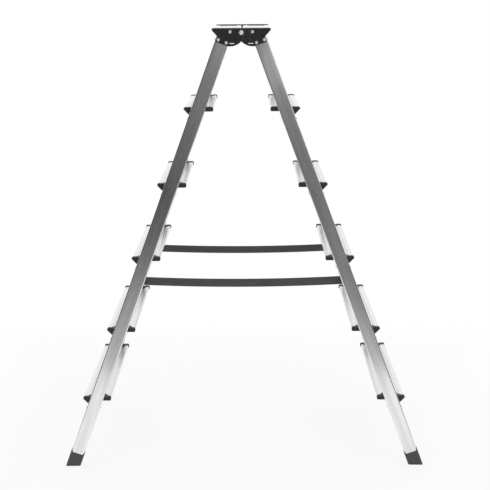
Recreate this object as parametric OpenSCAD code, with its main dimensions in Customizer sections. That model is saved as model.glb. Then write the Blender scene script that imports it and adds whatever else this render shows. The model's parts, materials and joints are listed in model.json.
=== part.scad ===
// Double-sided folding tread ladder, standing open.
// X runs across the spread, Y along the treads, Z up. The origin is on the floor, under the hinge.
// The left near quarter is modelled and the other quarters are its mirror images.

/* [Ladder] */
// Treads on each side under the platform
tread_count = 5; // [3:1:6]
// Distance between tread tops along the stile
step_pitch = 230.25; // [205:0.25:255]
// Amount by which the lowest step is shorter than the others
low_step_cut = 0.7; // [0:0.1:20]
// Lean of each section from the vertical, degrees
lean = 20.4; // [16:0.1:23]
// Taper of each stile inside its section, degrees
taper = 2.74; // [1.5:0.02:3.4]
// Clear width between the stiles at the hinge
top_width = 322.3; // [280:0.1:420]

/* [Stiles] */
// Depth of the stile tube, front to rear
stile_depth = 38; // [34:0.5:44]
// Thickness of the stile tube along the treads
stile_thick = 20; // [18:0.5:26]
// Wall of the stile tube
stile_wall = 1.8; // [1.4:0.1:2.4]
// Outer corner radius of the stile tube
stile_corner = 3; // [1.5:0.1:4]
// Distance from the hinge axis to the rear face of the stile
hinge_offset = 23; // [21:0.1:27]

/* [Treads] */
// Depth of the tread extrusion, front to rear
tread_depth = 80; // [77:0.2:82]
// Reach of the tread in front of the stile, at tread height
front_overhang = 20.7; // [18:0.1:24]
// Wall of the tread extrusion
tread_wall = 1.8; // [1.4:0.1:2.4]
// Radius of the nose and of the rear top edge
tread_edge_r = 3; // [2:0.1:3.4]
// Height of the upright nose above the sloping front wall
nose_height = 3.3; // [3:0.1:5]
// Slope of the front wall under the nose, degrees
nose_slope = 47; // [42:1:54]
// Height of the hollow behind the stile
rear_height = 8.8; // [8:0.1:10]
// Height of the centre chamber that enters the stile
chamber_height = 40; // [37:0.5:48]
// Width of the smooth raised strip along the front and the rear edge
strip_width = 13; // [10:0.5:15]
// Drop from the raised strips to the ribbed field
field_drop = 0.8; // [0.6:0.1:1.6]
// Number of grooves in the ribbed field
groove_count = 11; // [7:1:13]
// Width of a groove
groove_width = 2; // [1:0.1:2.2]
// Depth of a groove
groove_depth = 0.6; // [0.5:0.1:1]

/* [End caps] */
// Wall of the cap round the tread
cap_wall = 1.8; // [1.4:0.1:2.4]
// Thickness of the cap's end plate
cap_end = 2; // [1.5:0.1:3]
// Lap of the cap over the tread
cap_lap = 4; // [3:0.5:10]
// Reach of the cap past the inner face of the stile, in front of it and behind it
cap_wrap = 3.5; // [2:0.5:6]
// Reach of the cap's tongue over the tread
tongue_reach = 26; // [20:0.5:34]
// Half width of the tongue where it leaves the cap's end plate
tongue_base = 36; // [34:0.5:37]
// Slope of the tongue's sides, degrees
tongue_slope = 55; // [52:1:70]
// Corner radius of the tongue
tongue_corner = 7; // [3:0.5:10]

/* [Hinge head] */
// Depth of the hinge axis under the top of the hinge head
pin_drop = 11.9; // [11:0.1:13]
// Height of the hinge head above the platform between its ends
head_lip = 2.4; // [1:0.1:3]
// Radius of the hinge pin
pin_r = 4; // [3:0.1:4.4]
// Radius of the pin's domed head
pin_head_r = 6.3; // [5:0.1:7]
// Thickness of one leaf of the hinge head
leaf_thick = 4; // [3:0.1:5]
// Length of the hinge head along the stile, below the hinge axis
head_drop = 48; // [46:0.5:55]
// Reach of the lapped leaf past the hinge axis
lap_reach = 11.5; // [10:0.1:13]
// Distance from the hinge axis to the step of the half lap
lap_step = 19; // [18:0.1:19.6]
// Radius of the round lower edge of the leaf
lobe_r = 43; // [41:0.5:53]
// Radius of the rounded front tip
tip_r = 4; // [3:0.1:5]
// Mid radius of the crescent slot
slot_r = 40; // [30:1:60]
// Width of the crescent slot
slot_width = 1.6; // [1.4:0.1:2.6]

/* [Rivets] */
// Head radius of a hinge rivet
hinge_rivet_r = 4.4; // [4:0.1:4.6]
// Head radius of a tread rivet and of a strap rivet
small_rivet_r = 4.2; // [3.6:0.1:5]
// Shank radius of every rivet
rivet_shank_r = 2.4; // [1.6:0.1:2.8]
// Height of every rivet head
rivet_head_h = 1.7; // [1.2:0.1:2.2]
// Distance of the tread rivets below the tread top
tread_rivet_drop = 28.6; // [28:0.1:31]

/* [Feet] */
// Wall of the foot sleeve
foot_wall = 1.8; // [1.4:0.1:2.6]
// Height of the front edge of the sleeve above the floor
foot_height = 45; // [36:1:60]
// Extra height of the sleeve on the narrow faces
foot_ear = 5; // [3:0.5:8]
// Height of the lowest corner of the stile above the floor
sole_height = 9; // [6:0.5:14]

/* [Straps] */
// Width of the webbing
strap_width = 24.5; // [20:0.5:27]
// Thickness of the webbing
strap_thick = 1.8; // [1.2:0.1:2.4]
// Distance of the near strap's ends below the top of the tread above them
strap_drop = 71.1; // [70:0.1:100]
// Extra distance of the far strap below that tread
far_strap_fall = 8; // [0:0.5:10]
// Number of the tread above the straps
strap_tread = 3; // [2:1:3]
// Sag of the strap in the middle
strap_sag = 7; // [2:0.5:14]
// Length of strap lying on the stile
strap_lap = 32; // [28:0.5:33]

/* [Clearances] */
// Gap between a tread end cap and the stile
end_gap = 0.4; // [0.3:0.05:0.8]
// Gap between the tread chamber and its opening in the stile
opening_gap = 0.2; // [0.1:0.05:0.4]
// Gap between a cap and the tread inside it, and between a sleeve and its stile
seat_gap = 0.1; // [0.05:0.05:0.2]
// Gap between the two lapped leaves
lap_gap = 0.3; // [0.2:0.05:0.5]
// Radial gap of the hinge pin in the leaf that turns on it
pin_gap = 0.05; // [0.02:0.01:0.09]

/* [Hidden] */
$fn = 48;
over = 1;
rise = step_pitch * cos(lean);
platform_z = (tread_count + 1) * rise - low_step_cut;
pin_z = platform_z - pin_drop;
half_top = top_width / 2;
front_face = hinge_offset + stile_depth;

// The tread profile runs from u = 0 at the front edge to u = tread_depth, with v = 0 at the strips.
chamber_play = 1.5;
chamber_inset = stile_wall + chamber_play;
chamber_front = front_overhang + chamber_inset / cos(lean);
chamber_rear = front_overhang + (stile_depth - chamber_inset) / cos(lean);
chamber_top = -(field_drop + groove_depth);
hollow_top = chamber_top - tread_wall;
strip_slope = 2;
field_length = tread_depth - 2 * (strip_width + strip_slope);
groove_pitch = field_length / groove_count;
rear_edge_r = 2;
arc_steps = 6;

// Leaves of the hinge head, from the outside in, measured along Y from the middle of the ladder.
// The stile reaches furthest out at the foot of the head. The leaf clears it by a whole tenth.
stile_reach = half_top + head_drop * tan(taper) + stile_thick / cos(taper);
leaf_in = ceil(10 * (stile_reach + seat_gap)) / 10;
leaf_out = leaf_in + leaf_thick;
back_leaf_out = leaf_in - lap_gap;
back_leaf_in = back_leaf_out - leaf_thick;
pin_head_h = 3;
pin_tail_h = 2.4;
pin_tail_lip = 0.7;
pin_tail_r = pin_r + pin_tail_lip;
pin_fit = 0.01;
pin_end_gap = 0.1;
head_back = back_leaf_in - pin_tail_h - over;
slab_thick = head_lip - chamber_top - opening_gap;
stile_top_z = platform_z - head_lip + chamber_top;

sections = ["left", "right"];
ends = ["near", "far"];
tread_numbers = [for (k = [1 : tread_count]) k];

// Heights and reaches

function tread_z(k) = k * rise - low_step_cut - head_lip;

// Distance of a tread's front edge from the middle plane, at the height z of its top
function tread_front(z) = front_face / cos(lean) + (pin_z - z) * tan(lean) + front_overhang;

// Half the clear width between the stiles at the rear face, at height z
function clear_half(z) = half_top + (hinge_offset * tan(lean) + (pin_z - z) / cos(lean)) * tan(taper);

// Outer face of the end cap, end of the extrusion under it, and end of the chamber inside the stile
function cap_face(z) = clear_half(z) - end_gap;
function tread_end(z) = cap_face(z) - cap_end - seat_gap;
function chamber_end(z) = clear_half(z) + stile_thick - stile_wall - over;

// Position along the stile of a point at height z on a face at distance f from the hinge axis
function along_stile(z, f) = (z - pin_z - f * sin(lean)) / cos(lean) / cos(taper);

// A point of the section, f outwards from the hinge axis and s down the stile, seen from the side
function side_point(f, s) = [-f * cos(lean) - s * sin(lean), f * sin(lean) - s * cos(lean)];

function arc(centre, r, from, to, steps = arc_steps) =
    [for (i = [0 : steps]) let (a = from + (to - from) * i / steps) centre + r * [cos(a), sin(a)]];

// Tread profile, grown outwards by g

function nose_foot(g) = -nose_height - g * (1 - sin(nose_slope)) / cos(nose_slope);

// Where the front wall, grown by g, meets the line u = f - |v| tan(lean)
function nose_end(g, f) =
    let (run = (f + nose_foot(g) * tan(lean) + g) / (cos(nose_slope) + sin(nose_slope) * tan(lean)))
    [run * cos(nose_slope) - g, nose_foot(g) - run * sin(nose_slope)];

function chamber_point(f, v) = [f + v * tan(lean), v];

function front_edge(g) = arc([tread_edge_r, -tread_edge_r], tread_edge_r + g, 180, 90);

function rear_edge(g) = concat(
    arc([tread_depth - tread_edge_r, -tread_edge_r], tread_edge_r + g, 90, 0),
    arc([tread_depth - rear_edge_r, rear_edge_r - rear_height], rear_edge_r + g, 0, -90)
);

function field_edge(g) = [
    [strip_width, g],
    [strip_width + strip_slope, g - field_drop],
    [tread_depth - strip_width - strip_slope, g - field_drop],
    [tread_depth - strip_width, g]
];

function groove_points() = [
    for (i = [0 : groove_count - 1])
        let (u = strip_width + strip_slope + groove_pitch * (i + 0.5))
        each [
            [u - groove_width / 2, -field_drop],
            [u - groove_width / 2, chamber_top],
            [u + groove_width / 2, chamber_top],
            [u + groove_width / 2, -field_drop]
        ]
];

function tread_outline() = concat(
    [[0, nose_foot(0)]],
    front_edge(0),
    [field_edge(0)[0], field_edge(0)[1]],
    groove_points(),
    [field_edge(0)[2], field_edge(0)[3]],
    rear_edge(0),
    [
        chamber_point(chamber_rear, -rear_height),
        chamber_point(chamber_rear, -chamber_height),
        chamber_point(chamber_front, -chamber_height),
        nose_end(0, chamber_front)
    ]
);

// The tread without its chamber, grown by g, with a gap c left round the chamber
function shell_outline(g, c) = concat(
    [[-g, nose_foot(g)]],
    front_edge(g),
    field_edge(g),
    rear_edge(g),
    [
        chamber_point(chamber_rear + c, -rear_height - g),
        chamber_point(chamber_rear + c, chamber_top + c),
        chamber_point(chamber_front - c, chamber_top + c),
        nose_end(g, chamber_front - c)
    ]
);

function chamber_outline(c, top) = [
    chamber_point(chamber_front - c, top),
    chamber_point(chamber_rear + c, top),
    chamber_point(chamber_rear + c, -chamber_height - c),
    chamber_point(chamber_front - c, -chamber_height - c)
];

// Leaf of the hinge head, seen from the side, with the hinge axis at the origin

// Its lower end: distances inside the faces of the stile, and the start of its straight front edge
heel_inset = 1.8;
toe_inset = 3.4;
front_rise = 15;
front_drop = head_drop - front_rise;
tip_end_angle = 225;
lobe_steps = 24;

function lobe_arc() =
    let (
        a = side_point(hinge_offset + heel_inset, head_drop),
        b = [lap_reach, pin_drop],
        half = norm(b - a) / 2,
        across = [a.y - b.y, b.x - a.x] / (2 * half),
        c = (a + b) / 2 + across * sqrt(lobe_r * lobe_r - half * half)
    )
    arc(c, lobe_r, atan2(a.y - c.y, a.x - c.x), atan2(b.y - c.y, b.x - c.x), lobe_steps);

function leaf_outline() = concat(
    arc([tip_r - tread_front(platform_z), pin_drop - tip_r], tip_r, 90, tip_end_angle),
    [side_point(front_face - toe_inset, front_drop), side_point(front_face - toe_inset, head_drop)],
    lobe_arc()
);

// Rivets through the leaf into the stile, and the slot in the lobe
rear_rivet_inset = 6.6;
front_rivet_inset = 8.1;
rivet_rise = 8;
upper_rivet_drop = 8.7;
lower_rivet_drop = head_drop - rivet_rise;
hinge_rivet_places = [
    side_point(hinge_offset + rear_rivet_inset, upper_rivet_drop),
    side_point(hinge_offset + rear_rivet_inset, lower_rivet_drop),
    side_point(front_face - front_rivet_inset, lower_rivet_drop)
];
slot_inset = 8.7;
slot_rise = 11.2;
slot_place = side_point(hinge_offset - slot_inset, head_drop - slot_rise);
slot_half_angle = 9.5;

// Step of the inner half behind the outer leaf: a slope over lap_run, which leans with the stile
lap_run = 4;
lap_lean = 13;
lap_level = 10.8;

function joggle_plan() = [
    [-2 * tread_depth, -leaf_out],
    [-lap_run, -leaf_out],
    [0, -back_leaf_out],
    [tread_depth, -back_leaf_out],
    [tread_depth, -back_leaf_in],
    [-lap_run / 2, -back_leaf_in],
    [-lap_run * 3 / 2, -leaf_in],
    [-2 * tread_depth, -leaf_in]
];

// Placing

module flip_x(on) {
    if (on) mirror([1, 0, 0]) children();
    else children();
}

module flip_y(on) {
    if (on) mirror([0, 1, 0]) children();
    else children();
}

module quarter(s, e) {
    flip_x(s == "right") flip_y(e == "far") children();
}

// Frame of the left near stile: hinge axis at the origin, inner face at y = 0, z up the stile
module stile_frame() {
    translate([0, 0, pin_z])
        rotate([0, lean, 0])
            translate([0, -half_top, 0])
                rotate([-taper, 0, 0])
                    children();
}

// Extrudes an outline seen from the near side, from y0 to y1
module side_slab(y0, y1) {
    translate([0, y1, 0]) rotate([90, 0, 0]) linear_extrude(y1 - y0) children();
}

// Places an outline of the tread profile at height z on the left
module tread_place(z) {
    translate([-tread_front(z), 0, z]) children();
}

// Rounded rectangle grown by g round the stile section, seen along the stile
module stile_section(g) {
    r = stile_corner + g;
    x0 = -front_face - g;
    x1 = -hinge_offset + g;
    y0 = -stile_thick - g;
    y1 = g;
    translate([x0 + r, y0]) square([x1 - x0 - 2 * r, y1 - y0]);
    translate([x0, y0 + r]) square([x1 - x0, y1 - y0 - 2 * r]);
    for (x = [x0 + r, x1 - r], y = [y0 + r, y1 - r])
        translate([x, y]) circle(r);
}

stile_low = along_stile(sole_height, hinge_offset);
stile_high = along_stile(platform_z + tread_depth, hinge_offset);

module stile_body(g, low, high) {
    stile_frame() translate([0, 0, low]) linear_extrude(high - low) stile_section(g);
}

// Everything above height z round the top of the ladder
module above(z) {
    translate([-platform_z / 2, -platform_z / 2, z]) cube([platform_z, platform_z, platform_z]);
}

// Everything from x0 towards the other section, between y0 and y1, round the hinge
module hinge_side(x0, y0, y1) {
    translate([x0, y0, pin_z - 2 * head_drop]) cube([tread_depth, y1 - y0, 4 * head_drop]);
}

// Room that the hinge head leaves for the stile and for the tread on its inner face
module stile_room() {
    width = stile_depth + 2 * seat_gap;
    difference() {
        union() {
            stile_body(seat_gap, -2 * head_drop, stile_high);
            stile_frame()
                translate([-front_face - seat_gap, -stile_thick / 2, -2 * head_drop])
                    cube([width, stile_thick, 4 * head_drop]);
        }
        above(stile_top_z + seat_gap);
    }
}

// Rivet with its head's seat at z = 0, the head upwards and the shank below
module rivet(head_r, grip) {
    dimple_r = rivet_shank_r * 0.6;
    dimple_z = rivet_head_h * 0.5;
    dome_angles = [15, 40, 65];
    dome = [for (a = dome_angles) [dimple_r + (head_r - dimple_r) * cos(a), rivet_head_h * sin(a)]];
    rotate_extrude() polygon(concat(
        [[0, -grip], [rivet_shank_r, -grip], [rivet_shank_r, 0], [head_r, 0]],
        dome,
        [[dimple_r, rivet_head_h], [dimple_r, dimple_z], [0, dimple_z]]
    ));
}

// Hole for a rivet's shank through z = 0
module rivet_hole(depth) {
    translate([0, 0, -depth]) cylinder(r = rivet_shank_r + pin_gap, h = 2 * depth);
}

tread_rivet_grip = chamber_inset + tread_wall + over;
hinge_rivet_grip = leaf_out - half_top - stile_thick + stile_wall + over / 2;
strap_rivet_grip = strap_thick + end_gap + stile_wall + over;

// Seats of the two rivets at the left near end of the tread with its top at height z
module at_tread_rivets(z) {
    for (rear = [false, true]) {
        f = rear ? hinge_offset : front_face;
        stile_frame()
            translate([-f, -stile_thick / 2, along_stile(z - tread_rivet_drop, f)])
                rotate([0, rear ? 90 : -90, 0])
                    children();
    }
}

module at_hinge_rivets() {
    for (p = hinge_rivet_places)
        translate([p.x, -leaf_out, pin_z + p.y]) rotate([90, 0, 0]) children();
}

module at_strap_rivet(e) {
    x = strap_half(e) - strap_width / 2;
    strap_frame(e) translate([-x, strap_thick, 0]) rotate([-90, 0, 0]) children();
}

// Spread strap, in a frame that lies flat on the inner faces of the stiles

strap_tilt = atan(tan(taper) * cos(lean));
strap_steps = 24;

// Height of a strap's ends, and half its free and its whole length
function strap_z(e) = tread_z(strap_tread) - strap_drop - (e == "far" ? far_strap_fall : 0);
function strap_rear(e) = hinge_offset / cos(lean) + (pin_z - strap_z(e)) * tan(lean);
function strap_half(e) = strap_rear(e) + strap_lap;

function strap_line(e, x) = -strap_sag * (1 - pow(min(abs(x), strap_rear(e)) / strap_rear(e), 2));

function strap_edge(e, shift) = [
    for (i = [0 : strap_steps])
        let (x = strap_half(e) * (2 * i / strap_steps - 1))
        [x, strap_line(e, x) + shift]
];

function reversed(points) = [for (i = [len(points) - 1 : -1 : 0]) points[i]];

module strap_frame(e) {
    translate([0, end_gap - clear_half(strap_z(e)), strap_z(e)]) rotate([-strap_tilt, 0, 0]) children();
}

// Pieces

module stile(e) {
    color("silver") difference() {
        stile_body(0, stile_low, stile_high);
        stile_frame()
            translate([stile_wall - front_face, stile_wall - stile_thick, stile_low - over])
                cube([stile_depth - 2 * stile_wall, stile_thick - 2 * stile_wall, platform_z * 2]);
        above(stile_top_z);
        for (k = [1 : tread_count + 1])
            tread_place(tread_z(k))
                side_slab(-clear_half(tread_z(k)) - stile_thick / 2, -tread_end(tread_z(k)))
                    polygon(chamber_outline(opening_gap, chamber_top + opening_gap));
        for (k = [1 : tread_count + 1])
            at_tread_rivets(tread_z(k)) rivet_hole(stile_wall + over);
        at_hinge_rivets() rivet_hole(hinge_rivet_grip);
        at_strap_rivet(e) rivet_hole(strap_rivet_grip);
    }
}

// The three hollows of the tread extrusion
module tread_hollows() {
    wall = tread_wall / cos(lean);
    chamber_floor = tread_wall - chamber_height;
    rear_floor = tread_wall - rear_height;
    polygon([
        chamber_point(chamber_front + wall, hollow_top),
        chamber_point(chamber_rear - wall, hollow_top),
        chamber_point(chamber_rear - wall, chamber_floor),
        chamber_point(chamber_front + wall, chamber_floor)
    ]);
    polygon([
        [tread_wall + (nose_foot(-tread_wall) - hollow_top) / tan(nose_slope), hollow_top],
        chamber_point(chamber_front, hollow_top),
        nose_end(-tread_wall, chamber_front)
    ]);
    polygon([
        chamber_point(chamber_rear, hollow_top),
        [tread_depth - tread_wall, hollow_top],
        [tread_depth - tread_wall, rear_floor],
        chamber_point(chamber_rear, rear_floor)
    ]);
}

// Tread with its top at height z, from -half to half, its chamber running on into the stiles
module tread_extrusion(z, half) {
    tread_place(z) difference() {
        union() {
            side_slab(-half, half) polygon(tread_outline());
            side_slab(-chamber_end(z), chamber_end(z)) polygon(chamber_outline(0, chamber_top));
        }
        side_slab(-chamber_end(z) - over, chamber_end(z) + over) tread_hollows();
    }
}

module riveted_tread(z, half) {
    color("gainsboro") difference() {
        tread_extrusion(z, half);
        for (e = ends)
            flip_y(e == "far") at_tread_rivets(z) rivet_hole(tread_rivet_grip);
    }
}

module tread(k) {
    riveted_tread(tread_z(k), tread_end(tread_z(k)));
}

// The platform is a tread without caps, which ends at the blocks of the hinge heads
module top_tread() {
    riveted_tread(tread_z(tread_count + 1), cap_face(platform_z));
}

// Plan of the cap's tongue, from the end plate inwards, with sloping sides and rounded corners
tongue_mid = tread_depth / 2 + 2.5;

function tongue_plan() =
    let (
        straight = tongue_reach - tongue_corner,
        half = tongue_base - (tongue_corner + straight * cos(tongue_slope)) / sin(tongue_slope)
    )
    concat(
        [[tongue_mid - tongue_base, 0]],
        arc([tongue_mid - half, straight], tongue_corner, 90 + tongue_slope, 90),
        arc([tongue_mid + half, straight], tongue_corner, 90, 90 - tongue_slope),
        [[tongue_mid + tongue_base, 0]]
    );

// Tongue that follows the strips and the ribbed field
module cap_tongue(z) {
    intersection() {
        side_slab(-cap_face(z), tongue_reach - cap_face(z)) difference() {
            polygon(shell_outline(cap_wall, opening_gap));
            polygon(shell_outline(seat_gap, -over));
        }
        translate([0, -cap_face(z), -field_drop])
            linear_extrude(cap_wall + field_drop + over) polygon(tongue_plan());
    }
}

// Cap on the end of a tread. Its nose and its rear block reach past the inner face of the stile.
module end_cap(k) {
    z = tread_z(k);
    inner = cap_end + cap_lap - cap_face(z);
    color([0.1, 0.1, 0.1]) difference() {
        tread_place(z) {
            difference() {
                side_slab(-cap_face(z) - cap_wrap, inner) polygon(shell_outline(cap_wall, opening_gap));
                side_slab(cap_end - cap_face(z), inner + over) polygon(shell_outline(seat_gap, -over));
            }
            cap_tongue(z);
        }
        stile_body(seat_gap, stile_low, stile_high);
    }
}

// Crescent slot in the lobe of a leaf, a ring cut to an arc
module crescent() {
    translate(slot_place + [0, slot_r]) difference() {
        circle(slot_r + slot_width / 2);
        circle(slot_r - slot_width / 2);
        for (side = [-1, 1])
            rotate(side * (90 - slot_half_angle))
                translate([-2 * slot_r, 0])
                    square([4 * slot_r, 2 * slot_r]);
    }
}

// Leaf of the hinge head between two distances from the middle of the ladder
module leaf(out, in) {
    translate([0, 0, pin_z]) side_slab(-out, -in) polygon(leaf_outline());
}

// Block behind the leaf that closes the end of the top tread and covers the end of the stile
module head_block() {
    difference() {
        union() {
            intersection() {
                leaf(leaf_out, half_top + stile_thick / 2);
                stile_frame()
                    translate([-front_face, -2 * stile_thick, -head_drop])
                        cube([stile_depth, 2 * stile_thick, 2 * head_drop]);
            }
            tread_place(platform_z) side_slab(-leaf_in, -cap_face(platform_z) - seat_gap) {
                polygon(shell_outline(0, opening_gap));
                translate([strip_width, -slab_thick])
                    square([tread_depth - 2 * strip_width, slab_thick]);
            }
        }
        stile_room();
        hinge_side(-lap_step, -leaf_in - over, -head_back);
    }
}

// Leaf of the inner half, which steps back behind the outer leaf and clears the end of the stile
module joggled_leaf() {
    difference() {
        intersection() {
            leaf(leaf_out, back_leaf_in);
            translate([-lap_step, 0, pin_z - lap_level])
                rotate([0, lap_lean, 0])
                    translate([0, 0, -2 * head_drop])
                        linear_extrude(4 * head_drop) polygon(joggle_plan());
        }
        intersection() {
            stile_room();
            hinge_side(-lap_step - 2 * lap_run, -leaf_in, -back_leaf_in + over);
        }
    }
}

// Half of the hinge head. The outer half's leaf laps over the inner half's.
module hinge_head(outer) {
    bore_r = pin_r + (outer ? pin_gap : pin_fit);
    color([0.08, 0.08, 0.08]) difference() {
        union() {
            head_block();
            if (outer) leaf(leaf_out, leaf_in);
            else joggled_leaf();
        }
        translate([0, 0, pin_z]) side_slab(-leaf_out - over, -half_top) crescent();
        translate([0, -leaf_out - over, pin_z])
            rotate([-90, 0, 0])
                cylinder(r = bore_r, h = leaf_out - back_leaf_in + 2 * over);
        at_hinge_rivets() rivet_hole(hinge_rivet_grip);
    }
}

module hinge_pin() {
    grip = leaf_out + pin_end_gap - back_leaf_in;
    low = -grip - pin_tail_h;
    color("lightgray")
        translate([0, -grip - back_leaf_in, pin_z])
            rotate([90, 0, 0])
                rotate_extrude() polygon(concat(
                    [[0, low], [pin_tail_r, low], [pin_tail_r, -grip], [pin_r, -grip], [pin_r, 0]],
                    [for (a = [0 : 15 : 90]) [pin_head_r * cos(a), pin_head_h * sin(a)]]
                ));
}

module hinge_rivets() {
    color("silver") for (e = ends)
        flip_y(e == "far") at_hinge_rivets() rivet(hinge_rivet_r, hinge_rivet_grip);
}

module tread_rivets() {
    color("silver") for (e = ends, k = [1 : tread_count + 1])
        flip_y(e == "far") at_tread_rivets(tread_z(k)) rivet(small_rivet_r, tread_rivet_grip);
}

module strap_rivets() {
    color("silver") for (e = ends)
        flip_y(e == "far") at_strap_rivet(e) rivet(small_rivet_r, strap_rivet_grip);
}

// Sleeve foot with a flat sole, raised a little on the two narrow faces of the stile
module foot() {
    rim = along_stile(foot_height, front_face);
    reach = stile_depth;
    color([0.3, 0.3, 0.3]) difference() {
        stile_body(foot_wall, stile_low - reach, rim + foot_ear);
        stile_body(seat_gap, stile_low, rim + reach);
        stile_frame()
            translate([stile_corner - front_face, -2 * stile_thick, rim])
                cube([stile_depth - 2 * stile_corner, 3 * stile_thick, reach]);
        translate([-platform_z, -platform_z, -reach]) cube([2 * platform_z, 2 * platform_z, reach]);
    }
}

module strap(e) {
    color([0.15, 0.15, 0.15]) difference() {
        strap_frame(e) side_slab(0, strap_thick)
            polygon(concat(strap_edge(e, strap_width / 2), reversed(strap_edge(e, -strap_width / 2))));
        for (s = sections)
            flip_x(s == "right") at_strap_rivet(e) rivet_hole(strap_rivet_grip);
    }
}

for (s = sections, e = ends) {
    quarter(s, e) stile(e);
    quarter(s, e) hinge_head(s == "left");
    quarter(s, e) foot();
}
for (s = sections, k = tread_numbers) {
    flip_x(s == "right") tread(k);
}
for (s = sections, k = tread_numbers, e = ends) {
    quarter(s, e) end_cap(k);
}
for (s = sections) {
    flip_x(s == "right") top_tread();
    flip_x(s == "right") hinge_rivets();
    flip_x(s == "right") tread_rivets();
    flip_x(s == "right") strap_rivets();
}
for (e = ends) {
    flip_y(e == "far") hinge_pin();
    flip_y(e == "far") strap(e);
}
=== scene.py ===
"""Dresses the folding trestle ladder: finishes, woven spread straps, a studio and the camera."""
import json
import logging
import math
from dataclasses import dataclass, field, replace
from enum import Enum
from typing import Any, Mapping, Optional, Sequence, Union

import bpy
from mathutils import Matrix, Vector


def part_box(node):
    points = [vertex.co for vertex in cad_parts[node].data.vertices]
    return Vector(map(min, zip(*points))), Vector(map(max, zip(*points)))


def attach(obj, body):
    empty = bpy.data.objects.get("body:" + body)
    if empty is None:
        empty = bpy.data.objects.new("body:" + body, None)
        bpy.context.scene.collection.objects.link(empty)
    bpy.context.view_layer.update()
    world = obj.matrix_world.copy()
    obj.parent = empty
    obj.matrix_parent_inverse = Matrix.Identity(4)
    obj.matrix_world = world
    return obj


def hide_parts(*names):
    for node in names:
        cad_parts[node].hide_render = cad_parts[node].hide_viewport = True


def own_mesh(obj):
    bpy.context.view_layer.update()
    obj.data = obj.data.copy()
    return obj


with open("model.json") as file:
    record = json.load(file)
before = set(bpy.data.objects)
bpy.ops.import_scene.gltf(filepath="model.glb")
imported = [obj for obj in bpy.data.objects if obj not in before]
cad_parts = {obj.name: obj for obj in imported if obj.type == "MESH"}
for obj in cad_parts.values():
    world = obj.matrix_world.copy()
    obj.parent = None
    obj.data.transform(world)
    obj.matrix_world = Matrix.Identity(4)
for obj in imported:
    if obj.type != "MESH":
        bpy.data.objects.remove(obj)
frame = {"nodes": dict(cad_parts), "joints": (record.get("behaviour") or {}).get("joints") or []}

LOG = logging.getLogger("ladder")

MM = 0.001
LEAN = math.radians(20.4)
TAPER = math.radians(2.74)
WHITE = (1.0, 1.0, 1.0, 1.0)
NOISE_MIDDLE = 0.5

Colour = tuple[float, float, float]
Triple = tuple[float, float, float]
Span = tuple[float, float]
Stops = Sequence[Span]


def grey(value: float, cool: float = 0.0) -> Colour:
    """A grey, with a little more blue where it is cool."""
    return (value, value, value + cool)


class Section(Enum):
    """The two hinged halves of the ladder."""

    LEFT = "left"
    RIGHT = "right"

    @property
    def side(self) -> int:
        """Sign of the section's X."""
        return -1 if self is Section.LEFT else 1

    @property
    def body(self) -> str:
        """Name of the rigid body that the section is."""
        return f"{self.value}_frame"


class End(Enum):
    """The two side frames of the ladder, as the camera sees them."""

    NEAR = "near"
    FAR = "far"

    @property
    def side(self) -> int:
        """Sign of the side frame's Y."""
        return -1 if self is End.NEAR else 1


class Axis(Enum):
    """The axes of a piece's own frame, in order."""

    X = 0
    Y = 1
    Z = 2


class Signal:
    """A number, colour or vector that runs through a node tree, with arithmetic."""

    def __init__(self, graph: "Graph", socket: bpy.types.NodeSocket) -> None:
        """Wraps an output socket.

        Args:
            graph: the tree that the socket belongs to.
            socket: the output to build on.
        """
        self.graph = graph
        self.socket = socket

    def _math(self, operation: str, *operands: Union["Signal", float]) -> "Signal":
        """Adds a Math node.

        Args:
            operation: the node's operation.
            operands: its inputs in order.

        Returns:
            The result.
        """
        made = self.graph.node("ShaderNodeMath", {"operation": operation}, dict(enumerate(operands)))
        return self.graph.out(made)

    def __add__(self, other: Union["Signal", float]) -> "Signal":
        """Sum."""
        return self._math("ADD", self, other)

    def __radd__(self, other: float) -> "Signal":
        """Sum, from the right."""
        return self._math("ADD", other, self)

    def __sub__(self, other: Union["Signal", float]) -> "Signal":
        """Difference."""
        return self._math("SUBTRACT", self, other)

    def __rsub__(self, other: float) -> "Signal":
        """Difference, from the right."""
        return self._math("SUBTRACT", other, self)

    def __mul__(self, other: Union["Signal", float]) -> "Signal":
        """Product."""
        return self._math("MULTIPLY", self, other)

    def __rmul__(self, other: float) -> "Signal":
        """Product, from the right."""
        return self._math("MULTIPLY", other, self)

    def __truediv__(self, other: Union["Signal", float]) -> "Signal":
        """Quotient."""
        return self._math("DIVIDE", self, other)

    def __abs__(self) -> "Signal":
        """Size without sign."""
        return self._math("ABSOLUTE", self)

    def sine(self) -> "Signal":
        """Sine of an angle in radians."""
        return self._math("SINE", self)

    def larger(self, other: Union["Signal", float]) -> "Signal":
        """The larger of two values."""
        return self._math("MAXIMUM", self, other)

    def swing(self, amount: float) -> "Signal":
        """How far a noise leaves its middle, times an amount."""
        return (self - NOISE_MIDDLE) * amount

    def step(self, low: float, high: float) -> "Signal":
        """Smooth step from 0 to 1.

        Args:
            low: where the step starts.
            high: where the step ends, which may be the lower of the two.

        Returns:
            The stepped value.
        """
        made = self.graph.node(
            "ShaderNodeMapRange",
            {"interpolation_type": "SMOOTHSTEP"},
            {"Value": self, "From Min": low, "From Max": high},
        )
        return self.graph.out(made)


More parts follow.
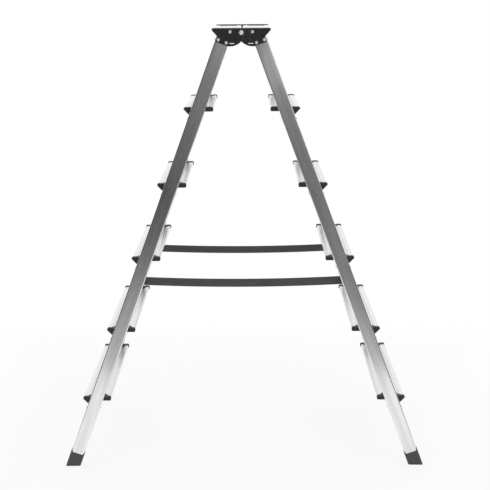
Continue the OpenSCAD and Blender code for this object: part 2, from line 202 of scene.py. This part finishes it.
class Graph:
    """Adds nodes to the tree of one material or world."""

    # Sockets of a Mix node that mixes colours
    MIX_SHARE, MIX_LOW, MIX_HIGH, MIX_RESULT = 0, 6, 7, 2
    # Rays with which softened edges, and the edges lightened as rubbed wear and painted highlight, are found
    SOFT_EDGE_RAYS, RUBBED_EDGE_RAYS = 4, 8

    def __init__(self, tree: bpy.types.NodeTree) -> None:
        """Empties a tree.

        Args:
            tree: the tree to build in.
        """
        self.tree = tree
        tree.nodes.clear()

    def node(
        self,
        kind: str,
        settings: Optional[Mapping[str, Any]] = None,
        inputs: Optional[Mapping[Union[str, int], Any]] = None,
    ) -> bpy.types.Node:
        """Adds one node.

        Args:
            kind: the node's type.
            settings: its properties, set first; "stops" holds a ramp's places and values.
            inputs: values or signals for its sockets, by name or number.

        Returns:
            The node.
        """
        made = self.tree.nodes.new(kind)
        for name, value in (settings or {}).items():
            if name == "stops":
                self._set_stops(made.color_ramp, value)
            else:
                setattr(made, name, value)
        for key, value in (inputs or {}).items():
            socket = made.inputs[key]
            if isinstance(value, Signal):
                self.tree.links.new(value.socket, socket)
            else:
                socket.default_value = value
        return made

    @staticmethod
    def _set_stops(ramp: bpy.types.ColorRamp, stops: Stops) -> None:
        """Sets a ramp's grey stops.

        Args:
            ramp: the ramp of a new node.
            stops: place and value of each stop, in order.
        """
        while len(ramp.elements) < len(stops):
            ramp.elements.new(1.0)
        for element, (place, value) in zip(ramp.elements, stops):
            element.position = place
            element.color = (*grey(value), 1.0)

    def out(self, made: bpy.types.Node, key: Union[str, int] = 0) -> Signal:
        """One output of a node, as a signal."""
        return Signal(self, made.outputs[key])

    def coordinates(self, kind: str) -> tuple[Signal, Signal, Signal]:
        """Coordinates of the shaded point, or in a world the direction that is looked in.

        Args:
            kind: which of the Texture Coordinate node's outputs.

        Returns:
            The three coordinates.
        """
        source = self.node("ShaderNodeTexCoord")
        parts = self.node("ShaderNodeSeparateXYZ", None, {0: self.out(source, kind)})
        return tuple(self.out(parts, axis.value) for axis in Axis)

    def place(self, size: Triple, turn: Triple = (0.0, 0.0, 0.0)) -> Signal:
        """Object coordinates in a turned frame, in units of a pattern's size.

        Args:
            size: length of the pattern along each axis of the turned frame, in metres.
            turn: turn of that frame, in radians.

        Returns:
            The vector.
        """
        source = self.node("ShaderNodeTexCoord")
        made = self.node(
            "ShaderNodeMapping",
            {"vector_type": "TEXTURE"},
            {"Vector": self.out(source, "Object"), "Rotation": turn, "Scale": size},
        )
        return self.out(made)

    def noise(self, vector: Signal, detail: float = 2.0, rough: float = 0.5) -> Signal:
        """Noise of unit size, from 0 to 1.

        Args:
            vector: where to read it.
            detail: number of finer octaves.
            rough: weight of the finer octaves.

        Returns:
            The noise.
        """
        made = self.node(
            "ShaderNodeTexNoise",
            None,
            {"Vector": vector, "Scale": 1.0, "Detail": detail, "Roughness": rough},
        )
        return self.out(made)

    def blend(self, share: Signal, low: Union[Colour, Signal], high: Union[Colour, Signal]) -> Signal:
        """Mixes two colours.

        Args:
            share: 0 for the first colour, 1 for the second.
            low: the first colour.
            high: the second colour.

        Returns:
            The mixed colour.
        """
        first, second = (c if isinstance(c, Signal) else (*c, 1.0) for c in (low, high))
        made = self.node(
            "ShaderNodeMix",
            {"data_type": "RGBA"},
            {self.MIX_SHARE: share, self.MIX_LOW: first, self.MIX_HIGH: second},
        )
        return self.out(made, self.MIX_RESULT)

    def bump(self, height: Signal, depth: float, strength: float, edge: float) -> Signal:
        """Normal of a relief on a piece with softened edges.

        Args:
            height: the relief, from 0 to 1.
            depth: its depth in metres.
            strength: how much of it shows.
            edge: radius of the softened edges in metres.

        Returns:
            The normal.
        """
        soft = self.node("ShaderNodeBevel", {"samples": self.SOFT_EDGE_RAYS}, {"Radius": edge})
        made = self.node(
            "ShaderNodeBump",
            None,
            {"Height": height, "Distance": depth, "Strength": strength, "Normal": self.out(soft)},
        )
        return self.out(made)

    def edges(self, reach: float) -> Signal:
        """Where a piece has an edge: 0 on a flat face, rising towards the edge.

        Args:
            reach: distance from the edge at which it starts to rise, in metres.

        Returns:
            The amount by which the softened normal leaves the face's own.
        """
        soft = self.node("ShaderNodeBevel", {"samples": self.RUBBED_EDGE_RAYS}, {"Radius": reach})
        face = self.node("ShaderNodeNewGeometry")
        made = self.node(
            "ShaderNodeVectorMath",
            {"operation": "DOT_PRODUCT"},
            {0: self.out(soft), 1: self.out(face, "Normal")},
        )
        return 1 - self.out(made, "Value")


class Finish:
    """A surface finish. Each kind gives the inputs of one Principled shader."""

    name: str

    def inputs(self, graph: Graph) -> dict[str, Any]:
        """Values and signals for the shader.

        Args:
            graph: the material's tree.

        Returns:
            The shader's inputs by name.
        """
        raise NotImplementedError

    def material(self) -> bpy.types.Material:
        """Makes the finish's material.

        Returns:
            A new material.
        """
        made = bpy.data.materials.new(self.name)
        made.use_nodes = True
        graph = Graph(made.node_tree)
        shader = graph.node("ShaderNodeBsdfPrincipled", None, self.inputs(graph))
        graph.node("ShaderNodeOutputMaterial", None, {"Surface": graph.out(shader)})
        return made


@dataclass(frozen=True)
class DrawnAluminium(Finish):
    """Mill-finish aluminium, with die lines and streaks the way it was drawn, clouding and rubbed marks."""

    name: str
    dark: Colour
    light: Colour
    roughness: float
    turn: Triple = (0.0, 0.0, 0.0)
    along: Axis = Axis.Z
    edge: float = 0.4 * MM
    line_pitch: float = 0.9 * MM
    line_length: float = 260 * MM
    line_share: float = 0.25
    line_gloss: float = 0.1
    streak_pitch: float = 14 * MM
    streak_length: float = 480 * MM
    streak_share: float = 0.55
    cloud_width: float = 60 * MM
    cloud_length: float = 180 * MM
    cloud_share: float = 0.2
    cloud_gloss: float = 0.08
    contrast: Span = (0.3, 0.7)
    mark_length: float = 30 * MM
    mark_edge: Span = (0.66, 0.78)
    mark_patch: Span = (0.5, 0.7)
    mark_gloss: float = 0.1
    relief: float = 0.02 * MM
    relief_lines: float = 0.6
    relief_shown: float = 0.3

    def _drawn(self, graph: Graph, across: float, length: float, detail: float) -> Signal:
        """Noise that is stretched along the drawing direction.

        Args:
            graph: the material's tree.
            across: its size across that direction.
            length: its size along that direction.
            detail: number of finer octaves.

        Returns:
            The noise.
        """
        size = tuple(length if axis is self.along else across for axis in Axis)
        return graph.noise(graph.place(size, self.turn), detail)

    def inputs(self, graph: Graph) -> dict[str, Any]:
        """Die lines, streaks, clouding and rubbed marks on bright metal.

        Args:
            graph: the material's tree.

        Returns:
            The shader's inputs by name.
        """
        lines = self._drawn(graph, self.line_pitch, self.line_length, detail=3.0)
        streaks = self._drawn(graph, self.streak_pitch, self.streak_length, detail=2.0)
        clouds = self._drawn(graph, self.cloud_width, self.cloud_length, detail=3.0)
        marks = self._drawn(graph, self.mark_length, self.line_pitch, detail=1.0)
        rub_marks_and_edge_highlight = marks.step(*self.mark_edge) * clouds.step(*self.mark_patch)
        tone = lines * self.line_share + streaks * self.streak_share + clouds * self.cloud_share
        dull = lines.swing(self.line_gloss) + clouds.swing(self.cloud_gloss) + rub_marks_and_edge_highlight * self.mark_gloss
        height = lines * self.relief_lines + streaks * (1 - self.relief_lines)
        return {
            "Base Color": graph.blend(tone.step(*self.contrast), self.dark, self.light),
            "Metallic": 1.0,
            "Roughness": self.roughness + dull,
            "Normal": graph.bump(height, self.relief, self.relief_shown, self.edge),
        }


@dataclass(frozen=True)
class SatinMetal(Finish):
    """Plain turned or pressed metal with a fine satin grain."""

    name: str
    dark: Colour
    light: Colour
    roughness: float
    metallic: float
    edge: float = 0.3 * MM
    grain: float = 0.5 * MM
    grain_gloss: float = 0.15
    tarnish: float = 7 * MM
    tarnish_gloss: float = 0.1
    contrast: Span = (0.3, 0.7)
    relief: float = 0.042 * MM
    relief_shown: float = 0.3

    def inputs(self, graph: Graph) -> dict[str, Any]:
        """Fine grain and faint tarnish.

        Args:
            graph: the material's tree.

        Returns:
            The shader's inputs by name.
        """
        grain = graph.noise(graph.place((self.grain,) * 3), detail=3.0)
        tarnish = graph.noise(graph.place((self.tarnish,) * 3))
        dull = grain.swing(self.grain_gloss) + tarnish.swing(self.tarnish_gloss)
        return {
            "Base Color": graph.blend(tarnish.step(*self.contrast), self.dark, self.light),
            "Metallic": self.metallic,
            "Roughness": self.roughness + dull,
            "Normal": graph.bump(grain, self.relief, self.relief_shown, self.edge),
        }


@dataclass(frozen=True)
class MouldedPlastic(Finish):
    """Moulded plastic or rubber with a fine grain, faint flow marks, dull scuffs and edges lightened as
    rubbed wear and painted highlight.
    """

    name: str
    body: Colour
    scuffed: Colour
    roughness: float
    specular: float
    # Edge colour, where given: partly rubbed wear, partly a painted highlight on the rounded edges.
    rub_marks_and_edge_highlight: Optional[Colour] = None
    rub_and_highlight_reach: float = 4 * MM
    rub_and_highlight_edge: Span = (0.0, 0.03)
    edge: float = 0.7 * MM
    grain: float = 0.7 * MM
    grain_share: float = 0.25
    flow: Triple = (27 * MM, 9 * MM, 27 * MM)
    flow_share: float = 0.3
    flow_gloss: float = 0.14
    scuff: Triple = (9 * MM, 9 * MM, 1.8 * MM)
    scuff_edge: Span = (0.58, 0.74)
    scuff_share: float = 0.6
    worn_gloss: float = 0.12
    contrast: Span = (-0.1, 0.9)
    relief: float = 0.06 * MM
    relief_shown: float = 0.6

    def inputs(self, graph: Graph) -> dict[str, Any]:
        """Grain, flow marks, scuffs and edges lightened as rubbed wear and painted highlight.

        Args:
            graph: the material's tree.

        Returns:
            The shader's inputs by name.
        """
        grain = graph.noise(graph.place((self.grain,) * 3), rough=0.6)
        flow = graph.noise(graph.place(self.flow))
        scuffs = graph.noise(graph.place(self.scuff), detail=4.0, rough=0.65).step(*self.scuff_edge)
        worn = scuffs * self.scuff_share + grain.swing(self.grain_share) + flow.swing(self.flow_share)
        colour = graph.blend(worn.step(*self.contrast), self.body, self.scuffed)
        # Lightens the edges: partly rubbed wear, partly a painted highlight.
        if self.rub_marks_and_edge_highlight:
            colour = graph.blend(graph.edges(self.rub_and_highlight_reach).step(*self.rub_and_highlight_edge), colour, self.rub_marks_and_edge_highlight)
        return {
            "Base Color": colour,
            "Roughness": self.roughness + flow.swing(self.flow_gloss) + worn * self.worn_gloss,
            "Specular IOR Level": self.specular,
            "Normal": graph.bump(grain, self.relief, self.relief_shown, self.edge),
        }


@dataclass(frozen=True)
class Webbing(Finish):
    """Woven polyester webbing, with its weave laid out along the band's own map."""

    name: str = "strap_webbing"
    yarn: Colour = grey(0.100, 0.002)
    # Colour in the weave's valleys: painted shade.
    valley_shade: Colour = grey(0.058, 0.001)
    roughness: float = 0.82
    specular: float = 0.25
    sheen: float = 0.25
    sheen_roughness: float = 0.5
    edge: float = 0.3 * MM
    ribs: int = 9
    rib_share: float = 0.65
    picks: int = 320
    pick_wave: float = 1.6
    weave_share: float = 0.75
    fuzz: float = 0.6 * MM
    fuzz_share: float = 0.3
    fuzz_gloss: float = 0.15
    fade: Triple = (40 * MM, 12 * MM, 12 * MM)
    fade_share: float = 0.4
    contrast: Span = (0.1, 0.9)
    relief: float = 0.25 * MM
    relief_weave: float = 0.8
    relief_shown: float = 0.7

    def _weave(self, graph: Graph) -> Signal:
        """Warp ribs along the band crossed by rows of weft.

        Args:
            graph: the material's tree.

        Returns:
            The height of the weave, from 0 to 1.
        """
        along, across, _ = graph.coordinates("UV")
        rib = (across * (self.ribs * math.pi)).sine()
        pick = (along * (self.picks * math.tau) + rib * self.pick_wave).sine()
        return abs(rib) * self.rib_share + (pick * 0.5 + 0.5) * (1 - self.rib_share)

    def inputs(self, graph: Graph) -> dict[str, Any]:
        """Weave with painted shade in its valleys, loose fibres and faded patches.

        Args:
            graph: the material's tree.

        Returns:
            The shader's inputs by name.
        """
        weave = self._weave(graph)
        fuzz = graph.noise(graph.place((self.fuzz,) * 3), detail=3.0, rough=0.7)
        fade = graph.noise(graph.place(self.fade))
        # The weave's valleys are painted darker than its tops, as painted shade; fuzz and faded patches vary
        # at random.
        tone = weave * self.weave_share + fuzz.swing(self.fuzz_share) + fade.swing(self.fade_share)
        height = weave * self.relief_weave + fuzz * (1 - self.relief_weave)
        return {
            "Base Color": graph.blend(tone.step(*self.contrast), self.valley_shade, self.yarn),
            "Roughness": self.roughness + fuzz.swing(self.fuzz_gloss),
            "Sheen Weight": self.sheen,
            "Sheen Roughness": self.sheen_roughness,
            "Specular IOR Level": self.specular,
            "Normal": graph.bump(height, self.relief, self.relief_shown, self.edge),
        }


def deselect_all() -> None:
    """Clears the selection, so that operators act on new pieces alone."""
    if bpy.context.object and bpy.context.object.mode != "OBJECT":
        bpy.ops.object.mode_set(mode="OBJECT")
    bpy.ops.object.select_all(action="DESELECT")


def apply_modifier(piece: bpy.types.Object, kind: str, name: str, settings: Mapping[str, Any]) -> None:
    """Adds one modifier to a piece and applies it.

    Args:
        piece: the piece, which becomes the active object.
        kind: the modifier's type.
        name: the modifier's name.
        settings: its properties.
    """
    deselect_all()
    piece.select_set(True)
    bpy.context.view_layer.objects.active = piece
    made = piece.modifiers.new(name, kind)
    for key, value in settings.items():
        setattr(made, key, value)
    bpy.ops.object.modifier_apply(modifier=made.name)


@dataclass
class Ladder:
    """The metal and plastic pieces that the frame brings, each given its finish."""

    treads: int = 5
    rivet_groups: tuple[str, ...] = ("hinge", "tread", "strap")
    stile: DrawnAluminium = DrawnAluminium(
        "stile_aluminium", dark=grey(0.745, 0.002), light=grey(0.960, 0.002), roughness=0.15
    )
    tread: DrawnAluminium = DrawnAluminium(
        "tread_aluminium",
        dark=grey(0.76, 0.005),
        light=grey(0.86),
        roughness=0.39,
        along=Axis.Y,
        line_pitch=1.1 * MM,
        edge=1.2 * MM,
    )
    rivet: SatinMetal = SatinMetal(
        "rivet_aluminium", dark=grey(0.76, 0.01), light=grey(0.88), roughness=0.36, metallic=0.5
    )
    pin: SatinMetal = SatinMetal(
        "pin_steel", dark=grey(0.88), light=grey(0.96, -0.01), roughness=0.3, metallic=0.4
    )
    head: MouldedPlastic = MouldedPlastic(
        "head_plastic",
        body=grey(0.016, 0.001),
        scuffed=grey(0.090, 0.001),
        roughness=0.5,
        specular=0.4,
        # Lighter edges: rubbed wear and a painted highlight.
        rub_marks_and_edge_highlight=grey(0.070),
    )
    cap: MouldedPlastic = MouldedPlastic(
        "cap_plastic", body=grey(0.034, 0.001), scuffed=grey(0.085, 0.001), roughness=0.52, specular=0.4
    )
    foot: MouldedPlastic = MouldedPlastic(
        "foot_rubber",
        body=grey(0.082, 0.001),
        scuffed=grey(0.155),
        roughness=0.74,
        specular=0.3,
        grain=1.1 * MM,
        flow=(18 * MM, 6 * MM, 18 * MM),
        scuff=(6 * MM, 6 * MM, 1.2 * MM),
    )

    def dress(self) -> None:
        """Gives every rigid piece of both sections its finish."""
        finishes = (self.tread, self.rivet, self.pin, self.head, self.cap, self.foot)
        tread, rivet, pin, head, cap, foot = (finish.material() for finish in finishes)
        numbers = range(1, self.treads + 1)
        for section in Section:
            stile = self._stile_of(section).material()
            for end in End:
                self._give(f"{section.value}_{end.value}_stile", stile)
                self._give(f"{section.value}_{end.value}_hinge_head", head)
                self._give(f"{section.value}_{end.value}_foot", foot)
                for number in numbers:
                    self._give(f"{section.value}_tread_{number}_{end.value}_cap", cap)
            for number in numbers:
                self._give(f"{section.value}_tread_{number}", tread)
            self._give(f"{section.value}_top_tread", tread)
            for group in self.rivet_groups:
                self._give(f"{section.value}_{group}_rivets", rivet)
        for end in End:
            self._give(f"{end.value}_hinge_pin", pin)

    def _stile_of(self, section: Section) -> DrawnAluminium:
        """The stiles' finish, with its die lines along the lean of one section.

        Args:
            section: the section that the stiles belong to.

        Returns:
            The finish.
        """
        turn = (0.0, -section.side * LEAN, 0.0)
        return replace(self.stile, name=f"{section.value}_{self.stile.name}", turn=turn)

    @staticmethod
    def _give(node: str, finish: bpy.types.Material) -> None:
        """Assigns a finish to a piece of the frame.

        Args:
            node: the piece's name.
            finish: the material that it gets all over.
        """
        piece = frame["nodes"][node]
        piece.data.materials.clear()
        piece.data.materials.append(finish)
        LOG.info("dressed %s in %s", node, finish.name)


@dataclass
class SpreadStrap:
    """One webbing strap between the two sections, riveted flat on the inner faces of the stiles."""

    end: End
    finish: bpy.types.Material
    width: float = 24.5 * MM
    thick: float = 1.7 * MM
    sag: float = 7 * MM
    lap: float = 32 * MM
    curl: float = 0.25 * MM
    curl_rest: float = 0.3
    steps: int = 180
    rows: int = 8
    edge_radius: float = 0.51 * MM
    edge_segments: int = 2
    edge_angle: float = math.radians(50)
    smooth_angle: float = math.radians(40)
    rivet_inset: float = 12.25 * MM
    rivet_hole: float = 2.6 * MM
    hole_sides: int = 32
    punch_length: float = 13.6 * MM
    half: float = field(init=False)
    place: Matrix = field(init=False)

    def __post_init__(self) -> None:
        """Takes the strap's length and place from its solid."""
        low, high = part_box(self.node)
        self.half = (high.x - low.x) / 2
        self.place = self._frame((low + high) / 2)

    @property
    def node(self) -> str:
        """Name of the solid that the strap stands for."""
        return f"{self.end.value}_strap"

    def build(self) -> bpy.types.Object:
        """Makes the strap, sets it over its solid and fixes it to the left section.

        Returns:
            The strap.
        """
        strap = self._band()
        for section in Section:
            self._punch(strap, self._rivet(section))
        bpy.ops.object.shade_smooth_by_angle(angle=self.smooth_angle)
        strap.data.materials.append(self.finish)
        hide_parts(self.node)
        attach(strap, Section.LEFT.body)
        axis, share = self._fold()
        tuple(self._rivet(Section.LEFT))
        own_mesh(strap)
        LOG.info("made %s", strap.name)
        return strap

    def _band(self) -> bpy.types.Object:
        """Makes the band of webbing with its thickness and rounded edges.

        Returns:
            The band, in its place.
        """
        deselect_all()
        bpy.ops.mesh.primitive_grid_add(x_subdivisions=self.steps, y_subdivisions=self.rows, size=2.0)
        strap = bpy.context.active_object
        strap.name = f"{self.end.value}_spread_strap"
        for point in strap.data.vertices:
            point.co = self.place @ self._on_band(point.co.x, point.co.y)
        strap.data.update()
        apply_modifier(strap, "SOLIDIFY", "thickness", {"thickness": self.thick, "offset": 0.0})
        rounding = {
            "width": self.edge_radius,
            "segments": self.edge_segments,
            "limit_method": "ANGLE",
            "angle_limit": self.edge_angle,
        }
        apply_modifier(strap, "BEVEL", "edges", rounding)
        return strap

    def _on_band(self, along: float, across: float) -> Vector:
        """Point of the band's middle surface.

        Args:
            along: from -1 at the left end to 1 at the right end.
            across: from -1 at the lower edge to 1 at the upper edge.

        Returns:
            The point in the band's frame.
        """
        x = along * self.half
        span = self.half - self.lap
        share = min(abs(x), span) / span
        drop = self.sag * (1 - share ** 2)
        cup = self.curl * (across ** 2 - self.curl_rest) * (1 - share ** 4)
        return Vector((x, cup * self.end.side, across * self.width / 2 - drop))

    def _frame(self, centre: Vector) -> Matrix:
        """Frame of the band, with X along it, Y through it and Z across it.

        Args:
            centre: the middle of the solid's box.

        Returns:
            The frame's matrix.
        """
        tilt = math.atan(math.tan(TAPER) * math.cos(LEAN))
        turn = Matrix.Rotation(self.end.side * tilt, 4, "X")
        middle = Vector((0.0, 0.0, -self.sag / 2))
        return Matrix.Translation(centre - turn @ middle) @ turn

    def _rivet(self, section: Section) -> Vector:
        """Place of the rivet on one section."""
        return self.place @ Vector((section.side * (self.half - self.rivet_inset), 0.0, 0.0))

    def _punch(self, strap: bpy.types.Object, where: Vector) -> None:
        """Cuts a rivet hole through the strap.

        Args:
            strap: the strap.
            where: the hole's middle.
        """
        deselect_all()
        bpy.ops.mesh.primitive_cylinder_add(
            vertices=self.hole_sides,
            radius=self.rivet_hole,
            depth=self.punch_length,
            location=where,
            rotation=(self.place.to_3x3() @ self._through()).to_euler(),
        )
        punch = bpy.context.active_object
        cut = {"operation": "DIFFERENCE", "solver": "EXACT", "object": punch}
        apply_modifier(strap, "BOOLEAN", "rivet_hole", cut)
        bpy.data.objects.remove(punch, do_unlink=True)

    def _through(self) -> Matrix:
        """Turn of the punch: through the band, with no corner on the band's middle line."""
        return Matrix.Rotation(math.pi / 2, 3, "X") @ Matrix.Rotation(math.pi / self.hole_sides, 3, "Z")

    def _fold(self) -> tuple[Vector, float]:
        """Direction in which the strap shortens as the right section turns about the hinge.

        Returns:
            The direction, and the share of the strap's length that is left when folded.
        """
        left, right = (self._rivet(section) for section in Section)
        joint = frame["joints"][0]
        hinge = Vector(joint["pos_m"])
        turn = Matrix.Rotation(math.radians(joint["range_deg"][1]), 3, Vector(joint["axis"]))
        moved = hinge + turn @ (right - hinge)
        axis = (right - moved).normalized()
        return axis, (moved - left).dot(axis) / (right - left).dot(axis)


@dataclass(frozen=True)
class Viewpoint:
    """The camera, where the photograph was taken from."""

    eye: Triple = (0.0225, -2.7504, 1.3759)
    pitch: float = math.radians(15.22)
    yaw: float = math.radians(0.36)
    roll: float = math.radians(-0.385)
    focal_px: float = 911.0
    frame_px: float = 490.0
    sensor: float = 36.0
    sight: float = 100.0

    def build(self) -> None:
        """Adds the camera and looks through it."""
        data = bpy.data.cameras.new("camera")
        data.sensor_width = self.sensor
        data.lens = self.focal_px / self.frame_px * self.sensor
        data.clip_end = self.sight
        camera = bpy.data.objects.new("camera", data)
        camera.matrix_world = Matrix.Translation(self.eye) @ self._turn()
        bpy.context.scene.collection.objects.link(camera)
        bpy.context.scene.camera = camera

    def _turn(self) -> Matrix:
        """Turn of the camera, from its yaw, pitch and roll.

        Returns:
            The turn's matrix.
        """
        level = Vector((math.cos(self.yaw), math.sin(self.yaw), 0.0))
        forward = Vector((-math.sin(self.yaw), math.cos(self.yaw), 0.0))
        ahead = forward * math.cos(self.pitch) - Vector((0.0, 0.0, math.sin(self.pitch)))
        upright = level.cross(ahead)
        right = level * math.cos(self.roll) + upright * math.sin(self.roll)
        up = upright * math.cos(self.roll) - level * math.sin(self.roll)
        return Matrix((right, up, -ahead)).transposed().to_4x4()


@dataclass(frozen=True)
class Floor:
    """Pale matt floor, which the camera sees as near white with the ladder's shadow on it."""

    front: float = 1.19
    back: float = 3.2
    half_width: float = 1.3
    below: float = 0.5 * MM
    white: float = 0.9
    mirrored_white: float = 0.62
    shadow_share: float = 0.16
    shadow_fade: Span = (1.1, 0.6)
    shadow_stretch: float = 1.1

    def build(self) -> None:
        """Lays the floor."""
        deselect_all()
        bpy.ops.mesh.primitive_plane_add(size=2.0)
        floor = bpy.context.active_object
        floor.name = "floor"
        middle = (self.back - self.front) / 2
        half = (self.back + self.front) / 2
        for point in floor.data.vertices:
            point.co = Vector((point.co.x * self.half_width, point.co.y * half + middle, -self.below))
        floor.data.materials.append(self._material())

    def _material(self) -> bpy.types.Material:
        """Matt white, mixed with plain white for the camera and for polished pieces.

        Returns:
            The floor's material.
        """
        made = bpy.data.materials.new("floor_white")
        made.use_nodes = True
        graph = Graph(made.node_tree)
        matt = graph.node("ShaderNodeBsdfDiffuse", None, {"Color": (*grey(self.white), 1.0)})
        plain = graph.node("ShaderNodeEmission", None, {"Color": WHITE, "Strength": 1.0})
        inputs = {0: self._plain_share(graph), 1: graph.out(matt), 2: graph.out(plain)}
        mixed = graph.node("ShaderNodeMixShader", None, inputs)
        graph.node("ShaderNodeOutputMaterial", None, {"Surface": graph.out(mixed)})
        return made

    def _plain_share(self, graph: Graph) -> Signal:
        """How much of the floor is plain white, with room for a shadow near the ladder.

        Args:
            graph: the material's tree.

        Returns:
            The share.
        """
        path = graph.node("ShaderNodeLightPath")
        across, away, _ = graph.coordinates("Object")
        reach = abs(across / self.shadow_stretch).larger(abs(away))
        shaded = self.shadow_share * reach.step(*self.shadow_fade)
        seen = graph.out(path, "Is Camera Ray") * (1 - shaded)
        mirrored = graph.out(path, "Is Glossy Ray") * self.mirrored_white
        return seen.larger(graph.out(path, "Is Transmission Ray").larger(mirrored))


@dataclass(frozen=True)
class Room:
    """White to the eye, even light on matt pieces, and for polished ones a white backdrop and a darker room.

    The room lies on the camera's side. Its left and right tones are angles above the horizon in degrees,
    each with the brightness there.
    """

    even_light: float = 0.72
    backdrop_edge: Span = (0.0, 0.35)
    middle: Span = (-0.06, 0.06)
    wing: Span = (0.35, 0.8)
    wing_dimming: float = 0.8
    left: Stops = (
        (-90.0, 0.70), (-18.0, 0.63), (-15.0, 0.41), (-11.0, 0.15), (-8.0, 0.06), (-5.3, 0.03),
        (-4.0, 0.14), (0.5, 0.14), (1.8, 0.05), (7.0, 0.06), (24.0, 0.40), (90.0, 0.22),
    )
    right: Stops = (
        (-90.0, 0.70), (-18.0, 0.62), (-16.0, 0.50), (-15.0, 0.28), (-12.0, 0.20), (-8.5, 0.16),
        (-5.0, 0.22), (-1.0, 0.26), (0.5, 0.36), (2.0, 0.31), (7.0, 0.28), (24.0, 0.50), (90.0, 0.22),
    )

    def build(self) -> None:
        """Makes the world."""
        world = bpy.data.worlds.new("studio")
        world.use_nodes = True
        bpy.context.scene.world = world
        graph = Graph(world.node_tree)
        path = graph.node("ShaderNodeLightPath")
        plain = graph.out(path, "Is Camera Ray").larger(graph.out(path, "Is Transmission Ray"))
        glossy = graph.out(path, "Is Glossy Ray")
        lit = glossy * self._mirrored(graph) + (1 - glossy) * self.even_light
        strength = plain + (1 - plain) * lit
        light = graph.node("ShaderNodeBackground", None, {"Color": WHITE, "Strength": strength})
        graph.node("ShaderNodeOutputWorld", None, {"Surface": graph.out(light)})

    def _mirrored(self, graph: Graph) -> Signal:
        """Brightness of the backdrop and the room, as polished pieces mirror them.

        Args:
            graph: the world's tree.

        Returns:
            The brightness in each direction.
        """
        sideways, away, height = graph.coordinates("Generated")
        left, right = (self._tones(graph, height, tones) for tones in (self.left, self.right))
        to_right = sideways.step(*self.middle)
        wings = abs(sideways).step(*self.wing)
        room = (left * (1 - to_right) + right * to_right) * (1 - self.wing_dimming * wings)
        backdrop = away.step(*self.backdrop_edge)
        return room * (1 - backdrop) + backdrop

    @staticmethod
    def _tones(graph: Graph, height: Signal, tones: Stops) -> Signal:
        """Brightness of one side of the room by the height looked at.

        Args:
            graph: the world's tree.
            height: sine of the angle above the horizon.
            tones: angles above the horizon in degrees and the brightness there, in order.

        Returns:
            The brightness.
        """
        stops = [(0.5 + 0.5 * math.sin(math.radians(angle)), tone) for angle, tone in tones]
        ramp = graph.node("ShaderNodeValToRGB", {"stops": stops}, {0: height * 0.5 + 0.5})
        return graph.out(ramp)


@dataclass(frozen=True)
class Lamp:
    """One square soft lamp, which the camera doesn't see."""

    name: str
    where: Triple
    aim: Triple
    size: float
    power: float

    def hang(self) -> None:
        """Adds the lamp, turned to the point that it faces."""
        data = bpy.data.lights.new(self.name, "AREA")
        data.size = self.size
        data.energy = self.power
        lamp = bpy.data.objects.new(self.name, data)
        lamp.location = self.where
        lamp.visible_camera = False
        lamp.rotation_euler = (Vector(self.aim) - Vector(self.where)).to_track_quat("-Z", "Y").to_euler()
        bpy.context.scene.collection.objects.link(lamp)


@dataclass
class Studio:
    """The camera, the floor, the room and its lamps: one overhead, one to the right, one by the camera."""

    viewpoint: Viewpoint = Viewpoint()
    floor: Floor = Floor()
    room: Room = Room()
    lamps: tuple[Lamp, ...] = (
        Lamp("overhead", where=(0.3, 0.6, 3.4), aim=(0.0, 0.0, 0.5), size=4.6, power=30.0),
        Lamp("side", where=(2.4, -2.4, 2.2), aim=(0.0, 0.0, 0.6), size=1.4, power=10.0),
        Lamp("fill", where=(0.16, -2.95, 1.30), aim=(0.16, 0.0, 1.30), size=0.34, power=0.115),
    )

    def build(self) -> None:
        """Makes the camera, the floor, the lamps and the world."""
        self.viewpoint.build()
        self.floor.build()
        for lamp in self.lamps:
            lamp.hang()
        self.room.build()
        bpy.context.scene.view_settings.view_transform = "Standard"


def main() -> None:
    """Builds the studio, dresses the ladder and makes its straps."""
    logging.basicConfig(level=logging.INFO, format="%(name)s: %(message)s")
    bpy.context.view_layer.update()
    Studio().build()
    Ladder().dress()
    webbing = Webbing().material()
    for end in End:
        SpreadStrap(end, webbing).build()


if __name__ == "__main__":
    main()
